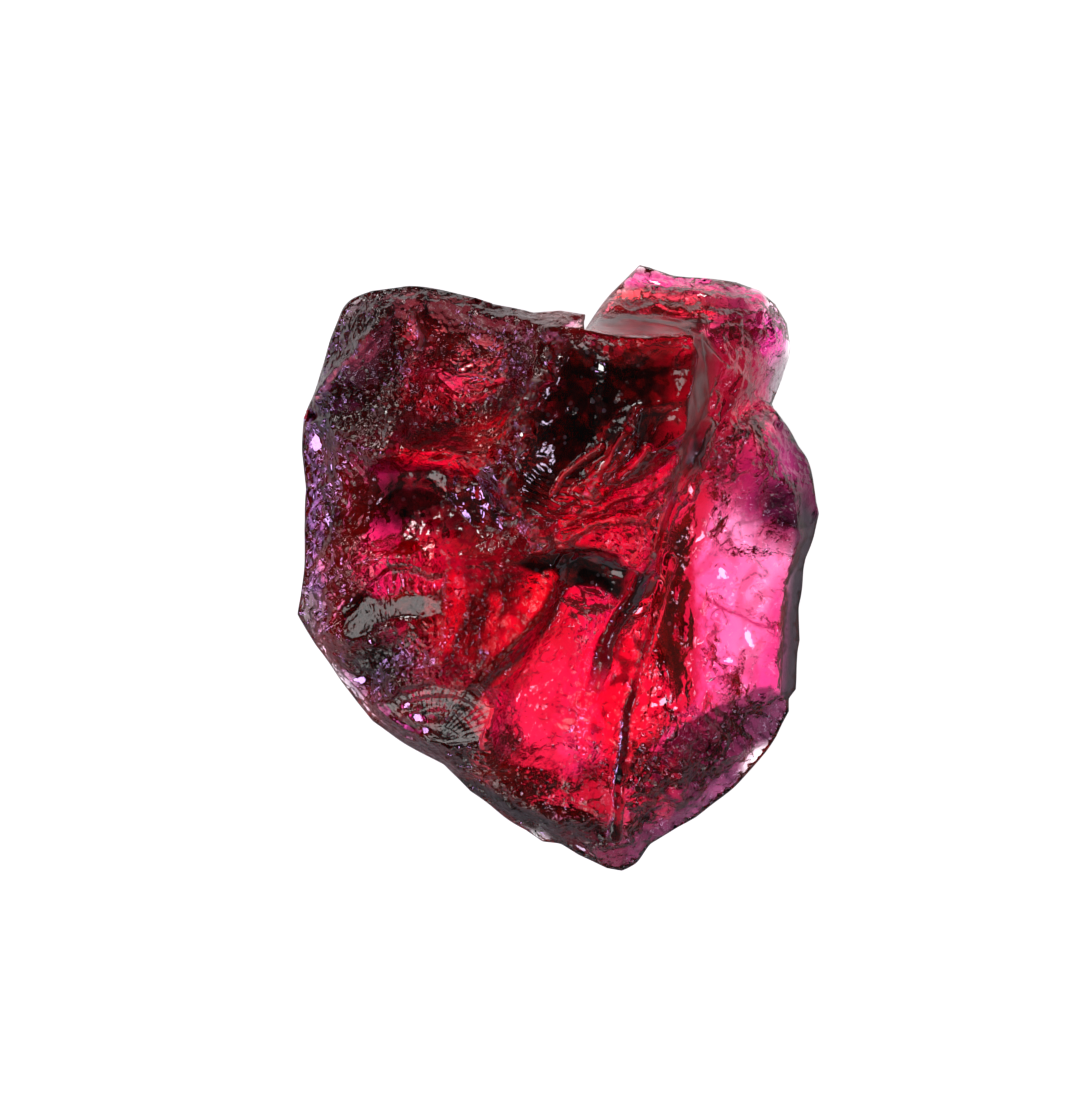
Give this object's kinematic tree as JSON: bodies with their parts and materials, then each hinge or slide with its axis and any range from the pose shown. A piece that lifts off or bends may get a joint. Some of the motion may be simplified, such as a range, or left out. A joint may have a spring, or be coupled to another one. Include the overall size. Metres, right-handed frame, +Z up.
{
  "type": "rough painite",
  "caption": "Broken see-through red crystal with hollowed fracture faces, sharp ridges and a thin pink wing, lying on its flat back.",
  "frame": {"origin": "on the resting plane, below the middle of the stone's bounding box", "axes": "+Z up, out of the broken front; +Y towards the stone's top edge as in the picture; +X towards its right"},
  "size_m": [0.0208, 0.0242, 0.0091],
  "materials": {
    "painite": "clear crystal with a glassy fracture, red through its thick parts and pink through its thin ones"
  },
  "bodies": {
    "root": {"stone": "painite"}
  },
  "joints": []
}
